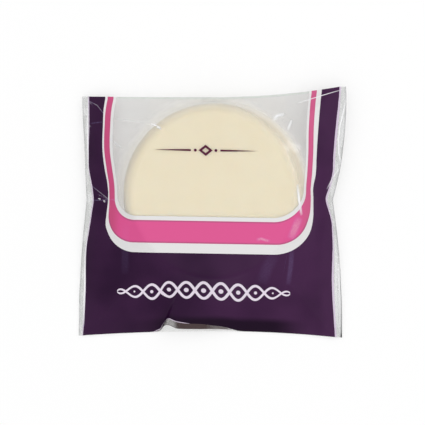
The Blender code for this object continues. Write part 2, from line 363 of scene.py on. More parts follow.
# %% Facets and waves
def facets(x, y, height, cell, seed):
    """Flat faces that meet in creases: how deep each place is inside its Voronoi cell."""
    depth = np.empty(x.size)
    for i, (px, py) in enumerate(zip(x.ravel() / cell, y.ravel() / cell)):
        near, next_near = noise.voronoi(Vector((px, py, seed)))[0][:2]
        depth[i] = next_near - near
    return height * depth.reshape(x.shape)


def waves(x, y, height, cell, seed):
    """Smooth noise, up to about this height."""
    points = zip(x.ravel() / cell, y.ravel() / cell)
    return height * np.array([noise.noise(Vector((px, py, seed))) for px, py in points]).reshape(x.shape)


# %% The films' relief
SEAL_REACH = 9.0 * MM
FREE_REACH = 1.5 * MM
LOOSE_FROM = 0.25
TAUT_FACETS = 0.04 * MM
LOOSE_FACETS = 0.16 * MM
# Each pattern: its height, unless it varies, its cell and its seed
FACET_PATTERN = (11.0 * MM, 0.6)
SWELL = (0.25 * MM, 14.0 * MM, 5.3)
RIPPLES = ((0.30 * MM, 9.0 * MM, 3.1), (0.10 * MM, 3.5 * MM, 7.7))


def inside_edge(x, y):
    """How far inside the sealed sides and the fold a place is."""
    left, right = LEFT.at(y)[0], RIGHT.at(y)[0]
    return np.minimum(np.minimum(x - left, right - x), fold_at(x)[0] - y)


def edge_relief(x, y):
    """The ripple of the seals and the fold, which moves both films and fades inwards."""
    fade = np.exp(-(np.maximum(inside_edge(x, y), 0.0) / SEAL_REACH) ** 2)
    ripples = sum(waves(x, y, *one) for one in RIPPLES)
    return (ripples + sum(crease(x, y, *one) for one in EDGE_CREASES)) * fade


def front_relief(x, y, slope_share):
    """What stands up on the front film alone: creases and facets, faint where it lies on the foam."""
    free = np.clip(inside_edge(x, y) / FREE_REACH, 0.0, 1.0)
    loose = np.clip(slope_share / LOOSE_FROM, 0.0, 1.0)
    relief = facets(x, y, TAUT_FACETS + LOOSE_FACETS * loose, *FACET_PATTERN) + loose * waves(x, y, *SWELL)
    return (relief + sum(crease(x, y, *one) for one in FRONT_CREASES)) * free


# %% [markdown]
# ## Making the two panels
#
# Each panel starts as a flat grid, as the film does before it is folded. Its rows and columns are
# placed between the seals, the mouth and the fold, and lifted to the height that the film has there.
# A cloth simulation could do this too, but a taut film keeps a plain form that a formula gives exactly.

# %% Grid helpers
PLAN_STEPS = 5


def deselect():
    bpy.ops.object.select_all(action="DESELECT")


def pick(piece):
    """Makes a piece the only one that is selected, and the active one."""
    deselect()
    piece.select_set(True)
    bpy.context.view_layer.objects.active = piece


def points_of(piece):
    """The piece's points, one row each."""
    points = np.empty(len(piece.data.vertices) * 3)
    piece.data.vertices.foreach_get("co", points)
    return points.reshape(-1, 3)


def place_points(piece, x, y, z):
    """Moves the piece's points to their places in the pouch."""
    piece.data.vertices.foreach_set("co", np.column_stack([x, y, z]).ravel())
    piece.data.update()


def flat_grid(name, columns, rows):
    """A unit grid, and each of its points' share across and share along."""
    deselect()
    bpy.ops.mesh.primitive_grid_add(x_subdivisions=columns, y_subdivisions=rows, size=1.0)
    sheet = bpy.context.object
    sheet.name = name
    sheet.data.name = name
    across, along, _ = (points_of(sheet) + 0.5).T
    return sheet, across, along


def plan_of(across, along):
    """The place in plan of a panel's point between the seals, the mouth and the fold."""
    y = LEFT.mouth_y + (LEFT.top_y - LEFT.mouth_y) * along
    for _ in range(PLAN_STEPS):
        left, right = LEFT.at(y)[0], RIGHT.at(y)[0]
        x = left + (right - left) * across
        mouth, fold = mouth_at(x)[0], fold_at(x)[0]
        y = mouth + (fold - mouth) * along
    return x, y


def give_thickness(sheet):
    """Turns a surface into film, half of its thickness on each side."""
    pick(sheet)
    wall = sheet.modifiers.new("thickness", "SOLIDIFY")
    wall.thickness = FILM
    wall.offset = 0.0
    bpy.ops.object.modifier_apply(modifier=wall.name)
    bpy.ops.object.shade_smooth_by_angle(angle=math.radians(50))


# %% [markdown]
# ## The lip at the mouth
#
# The two free edges at the mouth are not joined. The front one has buckled: a small tent stands up a
# little left of the middle, with a long low flank to its right. Where the lip is lifted, it is also
# drawn back, but less so on the flank, which falls forward and shows its inside. The tent's outline is
# a short list of chosen points, joined by a smooth curve.

# %% The buckle
BUCKLE_HEIGHT = 8.0 * MM
BUCKLE_RECESS = 3.15 * MM
LIP_RECESS = 0.1 * MM
LIP_SHARE = 0.025
FLANK = (-18.0, -15.5, -6.0, 6.0)
FLANK_FALL = 0.34
# Places across the lip in millimetres, and how much of the buckle's height each has
BUCKLE_POINTS = np.array([
    (-27.0, 0.0), (-24.0, 0.06), (-22.2, 0.26), (-21.0, 0.80), (-20.0, 1.0), (-18.2, 0.90), (-15.9, 0.70),
    (-13.0, 0.57), (-6.0, 0.47), (0.4, 0.34), (4.0, 0.27), (7.0, 0.15), (9.5, 0.04), (12.0, 0.0),
]).T


def smooth_through(x, places, values):
    """A smooth curve through chosen points: a cubic between each two, level beyond the ends."""
    slopes = np.gradient(values, places)
    i = np.clip(np.searchsorted(places, x) - 1, 0, len(places) - 2)
    run = places[i + 1] - places[i]
    t = np.clip((x - places[i]) / run, 0.0, 1.0)
    start = values[i] * (1 + 2 * t) * (1 - t) ** 2 + slopes[i] * run * t * (1 - t) ** 2
    return start + values[i + 1] * t**2 * (3 - 2 * t) + slopes[i + 1] * run * t**2 * (t - 1)


def lip_lift(x_mm):
    """How much of the buckle's height the lip has."""
    return np.maximum(smooth_through(x_mm, *BUCKLE_POINTS), 0.0)


def on_flank(x_mm):
    """1 on the lip's long flank right of the tent."""
    return np.interp(x_mm, FLANK, (0.0, 1.0, 1.0, 0.0))


def buckle_at(x, y, slope_share):
    """How much of the buckle's height each place has. It is all in the free film below the disc."""
    edge_x = x * ring_at(x, y, RING_REACH) / np.maximum(np.hypot(x, y), MM)
    return np.where(y < WAIST, lip_lift(edge_x / MM) * slope_share**2, 0.0)


# %% [markdown]
# ## Where the ink lies
#
# The stripes were printed straight, on flat film. The pouch is drawn in and creased since, so they
# bend with it. Each point of the front film therefore keeps its place on the flat print in a UV map:
# u across and v along. The bends come from the lines that the eye notices: the outer edges of the
# purple bands and the two sides of the window.

# %% Printed lines on the flat film and on the pouch
PRINT_LINES = np.array([-56.5, -51.9, -45.6, -44.8, 41.2, 43.0, 49.6, 54.5])
# Chosen places down each side, and how far across three lines are there: on the left the purple
# band's outer and inner edge and the pink frame's edge, and on the right the same from inside out
LEFT_Y = np.array([-60.0, -40.0, -22.0, -15.0, -8.0, -2.5, 4.0, 10.0, 18.0, 28.0, 36.0, 41.0])
LEFT_LINES = np.array([
    [-54.7, -53.4, -53.1, -51.9, -50.8, -50.0, -50.7, -51.9, -52.1, -51.8, -51.9, -52.0],
    [-46.0, -46.0, -45.6, -45.3, -44.5, -43.8, -44.0, -45.2, -46.2, -46.1, -45.7, -44.9],
    [-44.9, -44.9, -44.5, -44.1, -43.6, -43.3, -43.5, -44.4, -45.5, -45.4, -44.8, -43.8],
])
RIGHT_Y = np.array([-60.0, -36.0, -18.0, -10.0, -6.0, -2.0, 2.0, 8.0, 16.0, 28.0, 38.0, 44.0])
RIGHT_LINES = np.array([
    [40.5, 40.4, 40.0, 39.4, 39.6, 39.8, 39.7, 40.2, 40.7, 41.0, 41.8, 42.6],
    [42.3, 42.2, 41.6, 40.9, 40.8, 40.8, 40.6, 41.7, 42.1, 42.9, 43.8, 44.6],
    [50.2, 48.8, 49.0, 48.3, 47.1, 46.1, 47.2, 48.8, 49.2, 50.2, 51.3, 51.8],
])
PRINT_TILT = 0.017
PRINT_END = -57.0
PULL_START = 0.375
LIP_SLANT = 4.0
FLANK_SLANT = 0.9


def print_place(x, y):
    """Where each place of the front film was on the flat print, in millimetres across and along."""
    x_mm, y_mm = x / MM, y / MM
    lines = [(LEFT.at(y)[0] - WELD_WIDTH) / MM]
    lines += [smooth_through(y_mm, LEFT_Y, line) for line in LEFT_LINES]
    lines += [smooth_through(y_mm, RIGHT_Y, line) for line in RIGHT_LINES]
    lines += [(RIGHT.at(y)[0] + WELD_WIDTH) / MM]
    u = np.zeros(x.shape)
    for start, end, flat_start, flat_end in zip(lines, lines[1:], PRINT_LINES, PRINT_LINES[1:]):
        share = (x_mm - start) / (end - start)
        u = np.where((share >= 0) & (share <= 1), flat_start + (flat_end - flat_start) * share, u)
    to_mouth = y / mouth_at(x)[0]
    pull = np.clip((to_mouth - PULL_START) / (1 - PULL_START), 0.0, 1.0) ** 2
    v = y_mm + PRINT_TILT * x_mm
    slant = LIP_SLANT * lip_lift(x_mm) + FLANK_SLANT * on_flank(x_mm)
    return u, v + pull * (PRINT_END * to_mouth - v - slant)


# %% What each point keeps for the finish
def keep_value(sheet, name, values):
    sheet.data.attributes.new(name, "FLOAT", "POINT").data.foreach_set("value", values)


def keep_white_lines(sheet, x, y, creases):
    white, off_line = white_lines(x, y, creases)
    keep_value(sheet, "crease_white_and_glint", white)
    keep_value(sheet, "off_crease", off_line)


def keep_print(sheet, u, v):
    """Stores each point's place on the print in a UV map."""
    for old in list(sheet.data.uv_layers):
        sheet.data.uv_layers.remove(old)
    layer = sheet.data.uv_layers.new(name="print")
    corner_points = np.empty(len(sheet.data.loops), dtype=np.int32)
    sheet.data.loops.foreach_get("vertex_index", corner_points)
    layer.uv.foreach_set("vector", np.column_stack([u, v])[corner_points].ravel())
    layer.active_render = True


# %% The front film
FRONT_GRID = (214, 206)
HAZE_MIDDLE, HAZE_SHIFT, HAZE_WIDTH = DISC_RADIUS + 0.8 * MM, 1.5 * MM, 2.6 * MM


def painted_rim_light(x, y):
    """Where a cream haze is painted on the film over the disc's rim, as light that lifts the rim's shade,
    twice as much on the pouch's narrow right side.
    """
    reach = np.hypot(x, y)
    right = np.maximum(x / np.maximum(reach, MM), 0.0)
    return (1 + right) / 2 * np.exp(-((reach - HAZE_MIDDLE + HAZE_SHIFT * right) / HAZE_WIDTH) ** 2)


def make_front_film():
    film, across, along = flat_grid("front_film", *FRONT_GRID)
    x, y = plan_of(across, along)
    z, slope_share = front_form(x, y)
    lift = buckle_at(x, y, slope_share)
    relief = front_relief(x, y, slope_share) + edge_relief(x, y)
    at_lip = np.clip(1 - along / LIP_SHARE, 0.0, 1.0)
    recess = BUCKLE_RECESS * lift * (1 - FLANK_FALL * on_flank(x / MM)) + LIP_RECESS * at_lip
    place_points(film, x, y + recess, z + relief + BUCKLE_HEIGHT * lift)
    keep_print(film, *print_place(x, y))
    keep_white_lines(film, x, y, FRONT_CREASES + EDGE_CREASES)
    keep_value(film, "from_lip", (y - mouth_at(x)[0]) / MM)
    keep_value(film, "over_rim", painted_rim_light(x, y))
    give_thickness(film)
    return film


front_film = make_front_film()
print("front film:", len(front_film.data.polygons), "faces")

# %% The back film
BACK_GRID = (110, 106)
BACK_FREE_HEIGHT = 0.6 * MM
BACK_FACETS = (0.12 * MM, 12.0 * MM, 2.2)


def make_back_film():
    film, across, along = flat_grid("back_film", *BACK_GRID)
    x, y = plan_of(across, along)
    z = back_form(x, y)
    free = np.clip((z - FLOOR) / BACK_FREE_HEIGHT, 0.0, 1.0)
    z = z + free * (edge_relief(x, y) + facets(x, y, *BACK_FACETS))
    place_points(film, x, y, np.maximum(z, FLOOR))
    give_thickness(film)
    return film


back_film = make_back_film()
print("back film:", len(back_film.data.polygons), "faces")

# %% [markdown]
# ## The fold and the seals
#
# At the top the web turns round on itself in a tight half round. Down the sides the two panels are
# melted together into a strip, with a thin round bead along its cut edge. The strip is a long
# cylinder, pressed flat, because a cylinder is closed and has its bead's roundness already.

# %% The fold
FOLD_GRID = (160, 22)
INK_TURN = 0.55 * math.pi
PAST_ALL_INK = 100.0


def make_top_fold():
    strip, across, along = flat_grid("top_fold_film", *FOLD_GRID)
    x = LEFT.top_x + (RIGHT.top_x - LEFT.top_x) * across
    lip_y, height = fold_at(x)
    half_round = math.pi * FOLD_RADIUS
    path = along * (2 * FOLD_LIP + half_round)
    turn = np.clip((path - FOLD_LIP) / FOLD_RADIUS, 0.0, math.pi)
    straight = np.where(path < FOLD_LIP, path, np.minimum(2 * FOLD_LIP + half_round - path, FOLD_LIP))
    y = lip_y + straight + FOLD_RADIUS * np.sin(turn)
    z = height + FOLD_RADIUS * np.cos(turn) + edge_relief(x, lip_y)
    u, v = print_place(x, np.minimum(lip_y, RIGHT_Y[-1] * MM))
    place_points(strip, x, y, z)
    keep_print(strip, u, np.where(turn > INK_TURN, v + PAST_ALL_INK, v))
    keep_white_lines(strip, x, lip_y, EDGE_CREASES)
    give_thickness(strip)
    return strip


top_fold_film = make_top_fold()
print("fold:", len(top_fold_film.data.polygons), "faces")

# %% The side seals
SEAL_STATIONS = 240
SEAL_POINTS = 28
BEAD_WIDTH = 0.5 * MM
BEAD_HEIGHT = 0.32 * MM
BURNT_CORNER = 1.6 * MM
SINGED, SINGED_AT_MOUTH, FAINTLY_SINGED = 0.15, 0.35, 0.12
WANDER = (0.22 * MM, 11.0 * MM)
WANDER_SEED = 9.4


def edit(select=None):
    """Enters edit mode, and selects or deselects all there if it is told to."""
    bpy.ops.object.mode_set(mode="EDIT")
    if select:
        bpy.ops.mesh.select_all(action=select)


def close_skin(gap):
    """Joins points that lie closer than the gap, turns all faces outwards and leaves edit mode."""
    bpy.ops.mesh.select_all(action="SELECT")
    bpy.ops.mesh.remove_doubles(threshold=gap)
    bpy.ops.mesh.normals_make_consistent(inside=False)
    bpy.ops.object.mode_set(mode="OBJECT")


def seal_half_thickness(across):
    """Half the strip's thickness across its width: an even weld, then a round bead at the cut edge."""
    bead_middle = WELD_WIDTH - BEAD_WIDTH / 2
    bead = 1 - ((across - bead_middle) / (BEAD_WIDTH / 2)) ** 2
    bead = BEAD_HEIGHT / 2 * np.sqrt(np.clip(bead, 0.0, 1.0))
    return np.maximum(bead, np.where(across < bead_middle, FILM, 0.0))


def darkness_at(y, side):
    """How dark the bead is: singed on the right, more so towards the mouth, and faintly on the left."""
    towards_mouth = np.clip((DISC_RADIUS / -2 - y) / DISC_RADIUS, 0.0, 1.0)
    corner = np.clip((side.mouth_y + BURNT_CORNER - y) / FILM, 0.0, 1.0)
    right = np.maximum(SINGED + SINGED_AT_MOUTH * towards_mouth, corner)
    return np.where(side.sign > 0, right, FAINTLY_SINGED)


def make_seal(name, side):
    """A long cylinder, cut into stations and shaped into the seal's strip and bead."""
    deselect()
    bpy.ops.mesh.primitive_cylinder_add(
        vertices=SEAL_POINTS, radius=1.0, depth=1.0, end_fill_type="NGON", location=(0.0, 0.0, 0.5)
    )
    seal = bpy.context.object
    seal.name = name
    bpy.ops.object.transform_apply(location=True, rotation=True, scale=True)
    bpy.context.tool_settings.mesh_select_mode = (False, True, False)
    edit("DESELECT")
    bpy.ops.object.mode_set(mode="OBJECT")
    for edge in seal.data.edges:
        low, high = (seal.data.vertices[i].co.z for i in edge.vertices)
        edge.select = abs(high - low) > 0.5
    edit()
    bpy.ops.mesh.subdivide(number_cuts=SEAL_STATIONS)
    bpy.ops.object.mode_set(mode="OBJECT")

    around_x, around_y, along = points_of(seal).T
    across = WELD_WIDTH * (1 - around_x) / 2
    top_y = side.top_y + TOUCH_GAP + FOLD_LIP + FOLD_RADIUS
    y = side.mouth_y + (top_y - side.mouth_y) * along
    inner, height = side.at(y)
    x = inner + side.sign * across
    wander = waves(np.zeros(x.shape), y, *WANDER, WANDER_SEED + side.sign) * across / WELD_WIDTH
    z = height + edge_relief(x, y) + np.sign(around_y.round(6)) * seal_half_thickness(across)
    place_points(seal, x + wander, y, z)
    on_bead = np.clip((across - WELD_WIDTH + 1.5 * BEAD_WIDTH) / BEAD_WIDTH, 0.0, 1.0)
    keep_print(seal, *print_place(x, y))
    keep_white_lines(seal, x, y, EDGE_CREASES)
    keep_value(seal, "cut_edge", on_bead * darkness_at(y, side))
    edit()
    close_skin(FILM / 50)
    bpy.ops.object.shade_smooth_by_angle(angle=math.radians(60))
    return seal


left_seal = make_seal("left_seal", LEFT)
right_seal = make_seal("right_seal", RIGHT)
print("seals:", len(left_seal.data.polygons), "faces each")

# %% [markdown]
# ## The foam disc
#
# The disc is cut from a foam sheet and its edge is ground round. It is turned: half of a rounded
# section, spun round the middle. Then the surface is made a little uneven, as soft foam is.

# %% The disc
DISC_TURNS = 288
RIM_POINTS = 20
FACE_RINGS = 40
FOAM_UNEVENNESS, FOAM_CLOUD, CLOUD_MIDDLE = 0.10 * MM, 4.0 * MM, 0.6


def make_disc():
    """Half an ellipse for the rim, drawn in to the axis at both ends and spun round it."""
    deselect()
    bpy.ops.mesh.primitive_circle_add(
        vertices=4 * RIM_POINTS, radius=1.0, fill_type="NOTHING",
        location=(FACE_RADIUS, 0.0, DISC_MIDDLE), rotation=(math.pi / 2, 0.0, 0.0),
    )
    disc = bpy.context.object
    disc.name = "foam_disc"
    disc.scale = (RIM_WIDTH, HALF_THICKNESS, 1.0)
    bpy.ops.object.transform_apply(location=True, rotation=True, scale=True)
    bpy.context.tool_settings.mesh_select_mode = (True, False, False)
    edit("SELECT")
    cut_at = FACE_RADIUS - FILM
    bpy.ops.mesh.bisect(plane_co=(cut_at, 0.0, DISC_MIDDLE), plane_no=(1.0, 0.0, 0.0), clear_inner=True)
    bpy.ops.mesh.select_all(action="DESELECT")
    bpy.ops.object.mode_set(mode="OBJECT")
    for vertex in disc.data.vertices:
        vertex.select = vertex.co.x < FACE_RADIUS - FILM / 2
    edit()
    inwards = (-cut_at / FACE_RINGS, 0.0, 0.0)
    for _ in range(FACE_RINGS):
        bpy.ops.mesh.extrude_region_move(TRANSFORM_OT_translate={"value": inwards})
    bpy.ops.mesh.select_all(action="SELECT")
    bpy.ops.mesh.spin(steps=DISC_TURNS, angle=2 * math.pi, center=(0.0, 0.0, 0.0), axis=(0.0, 0.0, 1.0))
    close_skin(FILM / 20)
    return disc


def soften_disc(disc):
    """Swells the upper face and makes the whole skin a little uneven."""
    x, y, z = points_of(disc).T
    crown = np.where(z > DISC_MIDDLE, crown_at(np.hypot(x, y)), 0.0)
    place_points(disc, x, y, z + crown)
    pick(disc)
    clouds = bpy.data.textures.new("foam_unevenness", "CLOUDS")
    clouds.noise_scale = FOAM_CLOUD
    uneven = disc.modifiers.new("uneven", "DISPLACE")
    uneven.texture = clouds
    uneven.texture_coords = "LOCAL"
    uneven.strength = FOAM_UNEVENNESS
    uneven.mid_level = CLOUD_MIDDLE
    bpy.ops.object.modifier_apply(modifier=uneven.name)
    bpy.ops.object.shade_smooth()


foam_disc = make_disc()
soften_disc(foam_disc)
print("foam disc:", len(foam_disc.data.polygons), "faces")

# %% [markdown]
# ## Shader maths
#
# The finishes are worked out by nodes. Wiring dozens of Math nodes by hand is hard to read, so one
# small class lets them be written as sums: a Number stands for a node's output, and adding or
# multiplying it adds the node that does so.


# %% Numbers and finishes
def with_other(operation):
    """A method that joins a Number and another value by one of the Math node's operations."""
    return lambda number, other: number.math(operation, number, other)


class Number:
    """A number that a material works out for each point of a surface."""

    def __init__(self, socket):
        self.socket = socket

    def math(self, operation, *values):
        """The result of one of the Math node's operations on these values."""
        settings = {"operation": operation}
        return add_node(self.socket.id_data, "ShaderNodeMath", settings, dict(enumerate(values)))

    __add__ = __radd__ = with_other("ADD")
    __sub__ = with_other("SUBTRACT")
    __mul__ = __rmul__ = with_other("MULTIPLY")
    __truediv__ = with_other("DIVIDE")
    __pow__ = with_other("POWER")
    __lt__ = with_other("LESS_THAN")
    __gt__ = with_other("GREATER_THAN")
    least = with_other("MINIMUM")
    most = with_other("MAXIMUM")

    def __rsub__(self, other):
        return self.math("SUBTRACT", other, self)

    def __abs__(self):
        return self.math("ABSOLUTE", self)


def add_node(tree, kind, settings, sockets, out=0):
    """Adds a node, sets it up, fills or links its sockets, and returns one of its outputs."""
    node = tree.nodes.new(kind)
    for name, value in settings.items():
        setattr(node, name, value)
    for key, value in sockets.items():
        if isinstance(value, Number):
            tree.links.new(value.socket, node.inputs[key])
        else:
            node.inputs[key].default_value = value
    return Number(node.outputs[out])


class Finish:
    """A material whose nodes are added one by one."""

    def __init__(self, name):
        self.material = bpy.data.materials.new(name)
        self.material.use_nodes = True
        self.tree = self.material.node_tree
        self.tree.nodes.clear()

    def node(self, kind, settings=None, sockets=None, out=0):
        return add_node(self.tree, "ShaderNode" + kind, settings or {}, sockets or {}, out)

    def blend(self, factor, first, second):
        """One colour or another, by a factor from 0 to 1."""
        return self.node("Mix", {"data_type": "RGBA"}, {0: factor, 6: first, 7: second}, out=2)

    def mix(self, factor, first, second):
        """One shader or another, by a factor from 0 to 1."""
        return self.node("MixShader", None, {0: factor, 1: first, 2: second})

    def ramp(self, value, low, high):
        """0 below low, 1 above high, and smooth between them. Low may also be the higher one."""
        settings = {"interpolation_type": "SMOOTHSTEP"}
        return self.node("MapRange", settings, {0: value, 1: low, 2: high})

    def place(self):
        """The point's own place on the piece, in metres."""
        return self.node("TexCoord", out="Object")

    def kept(self, name):
        """A value that each point of the mesh keeps."""
        return self.node("Attribute", {"attribute_name": name}, out="Fac")

    def noise(self, place, cell, detail=2.0):
        return self.node("TexNoise", None, {"Vector": place, "Scale": 1 / cell, "Detail": detail})

    def cells(self, place, cell, feature="F1"):
        return self.node("TexVoronoi", {"feature": feature}, {"Vector": place, "Scale": 1 / cell})

    def bump(self, height, distance, strength):
        return self.node("Bump", None, {"Height": height, "Distance": distance, "Strength": strength})


def finish_with(finish, surface, *pieces):
    """Sends a shader to the material's output and puts the material on pieces."""
    output = finish.tree.nodes.new("ShaderNodeOutputMaterial")
    finish.tree.links.new(surface.socket, output.inputs["Surface"])
    for piece in pieces:
        piece.data.materials.clear()
        piece.data.materials.append(finish.material)
    print(finish.material.name, "is made of", len(finish.tree.nodes), "nodes")


# %% [markdown]
# ## The foam's finish
#
# Latex foam is a matt cream, with pores of a few tenths of a millimetre that show only close to. The
# pores are cells of a Voronoi pattern: dark in the middle, and pressed in by a bump.

# %% Foam
FOAM_CREAM = (0.935, 0.848, 0.655, 1.0)
FOAM_DEEP = (0.88, 0.78, 0.572, 1.0)
FOAM_SHEEN = (1.0, 0.93, 0.80, 1.0)
PORE, PORE_SHAPE, PORE_TONE, PORE_DEPTH = 0.45 * MM, (0.55, 0.1), 0.25, 0.05 * MM
PATCH, PATCH_SHAPE, PATCH_TONE = 9.0 * MM, (0.3, 0.75), 0.3
GRAIN, GRAIN_SHARE = 0.25 * MM, 0.5
FOAM_RELIEF = 0.6


def foam_finish(piece):
    foam = Finish("foam")
    place = foam.place()
    pores = foam.ramp(foam.cells(place, PORE), *PORE_SHAPE)
    patches = foam.ramp(foam.noise(place, PATCH, detail=3.0), *PATCH_SHAPE)
    grain = foam.noise(place, GRAIN)
    surface = foam.node("BsdfPrincipled", None, {
        "Base Color": foam.blend(patches * PATCH_TONE + pores * PORE_TONE, FOAM_CREAM, FOAM_DEEP),
        "Roughness": 0.92,
        "Normal": foam.bump(grain * GRAIN_SHARE - pores, PORE_DEPTH, FOAM_RELIEF),
        "Specular IOR Level": 0.2,
        "Subsurface Weight": 0.35,
        "Subsurface Radius": (1.0, 0.8, 0.6),
        "Subsurface Scale": 2.5 * MM,
        "Sheen Weight": 0.4,
        "Sheen Roughness": 0.5,
        "Sheen Tint": FOAM_SHEEN,
    })
    finish_with(foam, surface, piece)


foam_finish(foam_disc)

# %% [markdown]
# ## Clear film
#
# A film this thin doesn't bend what is seen through it, so it is a transparent shader with a mirror
# laid over it. The mirror grows towards grazing angles, as on any plastic. A Fresnel node would take
# the film's far side for the inside of solid plastic, so the mirror's share is worked out from how
# squarely the surface faces the eye, which is the same on both sides. A little of the film is milky:
# a diffuse shader takes the clear one's place there.

# %% Film shaders
WHITE = (1.0, 1.0, 1.0, 1.0)
MILK = (0.95, 0.95, 0.96, 1.0)
SLANTED_TINT = (0.35, 0.38, 0.35, 1.0)
BACK_TINT, BACK_HAZE = (0.945, 0.944, 0.941, 1.0), 0.05
FACE_ON_MIRROR = 0.035
FILM_ROUGHNESS = 0.07
CRINKLE, CRINKLE_SHAPE, CRINKLE_SHARE = 5.0 * MM, (0.0, 0.25), 0.3
FINE_WAVE = 2.2 * MM
FINE_DEPTH, FINE_STRENGTH = 0.06 * MM, 0.5


def film_relief(finish):
    """Fine crinkles, too small for the mesh."""
    place = finish.place()
    crinkles = finish.ramp(finish.cells(place, CRINKLE, feature="DISTANCE_TO_EDGE"), *CRINKLE_SHAPE)
    wave = finish.noise(place, FINE_WAVE, detail=3.0)
    return finish.bump(crinkles * CRINKLE_SHARE + wave, FINE_DEPTH, FINE_STRENGTH)


def mirror_share(turned):
    """Schlick's rule for how much a plastic surface mirrors."""
    return FACE_ON_MIRROR + (1 - FACE_ON_MIRROR) * turned**5


def clear_film(finish, tint, haze, relief, haze_colour=MILK):
    """Film that lets most light through, less of it at a slant, with a faint milky haze and a gloss."""
    # 0 where the surface is seen squarely, 1 where it is seen edge on
    turned = finish.node("LayerWeight", None, {"Blend": 0.5, "Normal": relief}, out="Facing")
    clear = finish.node("BsdfTransparent", None, {"Color": tint})
    slanted = finish.node("BsdfTransparent", None, {"Color": SLANTED_TINT})
    milky = finish.node("BsdfDiffuse", None, {"Color": haze_colour, "Normal": relief})
    gloss = finish.node("BsdfGlossy", None, {"Color": WHITE, "Roughness": FILM_ROUGHNESS, "Normal": relief})
    body = finish.mix(haze, finish.mix(turned**5, clear, slanted), milky)
    return finish.mix(mirror_share(turned), body, gloss)


clear_finish = Finish("clear_film")
clear = clear_film(clear_finish, BACK_TINT, BACK_HAZE, film_relief(clear_finish))
finish_with(clear_finish, clear, back_film)

# %% [markdown]
# ## The printed front
#
# The ink is printed on the inside of the film: a purple ground, a white line, a pink frame that is
# broad below the window, and a second white line. Each boundary is the edge of one window shape, two
# straight sides joined by a bottom with round corners, and its distance is worked out on the flat
# print. The ink covers, and the film's gloss lies over it.

# %% Window shapes on the print, in millimetres
# Each window: left side, right side, bottom, left corner's radius, right corner's radius
OUTER_WINDOW = (-45.6, 43.0, -24.45, 12.8, 18.0)
PINK_OUTSIDE = (-44.8, 41.2, -20.45, 11.2, 15.3)
PINK_INSIDE = (-42.4, 39.1, -11.15, 9.0, 13.6)
CLEAR_WINDOW = (-41.2, 38.2, -9.45, 8.5, 13.0)


def outside_window(u, v, window):
    """Distance to a window's edge, in millimetres, above 0 outside it."""
    left, right, bottom, left_radius, right_radius = window
    past_left = left - u
    past_right = u - right
    radius = left_radius + (right_radius - left_radius) * (past_right > past_left)
    a = past_left.most(past_right) + radius
    b = bottom - v + radius
    outer = (a.most(0.0) ** 2 + b.most(0.0) ** 2) ** 0.5
    return a.most(b).least(0.0) + outer - radius


# %% [markdown]
# Two generic ornaments fill the panel and the window: a plaited band of two waves with a dot in each
# loop, and a thin divider with a diamond in its middle. Both are worked out from the place on the
# print, like the stripes, so they stay sharp at any size.

# %% Ornaments
PLAIT_MIDDLE = (-4.0, -40.5)
PLAIT_HALF_LENGTH = 36.0
PLAIT_SWING = 3.6
PLAIT_WAVE = 14.4
PLAIT_LINE = 0.62
PLAIT_DOT = 1.05
DIVIDER_MIDDLE = (-3.0, 17.8)
DIVIDER_HALF_LENGTH = 21.0
DIVIDER_LINE = 0.42
DIVIDER_GAP = 6.0
DIVIDER_DOT, DIVIDER_DOT_PLACE = DIVIDER_LINE * 1.4, DIVIDER_GAP * 0.7
DIAMOND, DIAMOND_STEEPNESS = 2.3, 0.8


def fullness_at(along, half_length):
    """1 in an ornament's middle, falling to 0 at both its ends."""
    return (1.0 - (along / half_length) ** 2).most(0.0)


def plait(u, v):
    """1 on the plaited band: two mirrored waves that shrink towards the ends, and their dots."""
    along, up = u - PLAIT_MIDDLE[0], v - PLAIT_MIDDLE[1]
    fullness = fullness_at(along, PLAIT_HALF_LENGTH)
    turn_per_mm = 2 * math.pi / PLAIT_WAVE
    turn = along * turn_per_mm
    swing = fullness**0.5 * PLAIT_SWING
    height = turn.math("COSINE", turn) * swing
    steepness = turn.math("SINE", turn) * swing * turn_per_mm
    stretch = (steepness**2 + 1.0) ** 0.5
    line = (fullness * 0.5 + 0.5) * PLAIT_LINE
    upper, lower = (abs(gap) / stretch < line for gap in (up - height, up + height))
    in_loop = along.math("PINGPONG", along, PLAIT_WAVE / 4)
    dot = (in_loop**2 + up**2) ** 0.5 < PLAIT_DOT * fullness
    return upper.most(lower).most(dot) * (fullness > 0.0)


def divider(u, v):
    """1 on the divider: a line that thins to both ends, and a diamond between two dots."""
    along, up = abs(u - DIVIDER_MIDDLE[0]), abs(v - DIVIDER_MIDDLE[1])
    line = (up < fullness_at(along, DIVIDER_HALF_LENGTH) * DIVIDER_LINE) * (along > DIVIDER_GAP)
    off_middle = along * DIAMOND_STEEPNESS + up
    diamond = (off_middle < DIAMOND) * (off_middle > DIAMOND / 2)
    dot = ((along - DIVIDER_DOT_PLACE) ** 2 + up**2) ** 0.5 < DIVIDER_DOT
    return line.most(diamond).most(dot)


# %% [markdown]
# The ink isn't even, and each change in it follows the place on the print, but most of the changes
# are painted light. The purple has a random cloud, a painted sheen that makes it lighter towards the
# right, a painted reflection in its lower left corner, and painted shade where the film rolls down to
# the mouth. The pink has painted shade on the two sides, and where it laps over the white a thin
# darker line shows. At the mouth a clear strip is left below the ink, and it is painted with the shade
# that the fallen flank of the lip shows on its inside there.

# %% The ink
PURPLE_DEEP = (0.0215, 0.0018, 0.0275, 1.0)
PURPLE_LIGHT = (0.057, 0.0133, 0.0625, 1.0)
# The darkest purple is painted shade, where the film rolls down to the mouth
PURPLE_PAINTED_SHADE = (0.012, 0.0002, 0.0155, 1.0)
PINK = (0.72, 0.092, 0.285, 1.0)
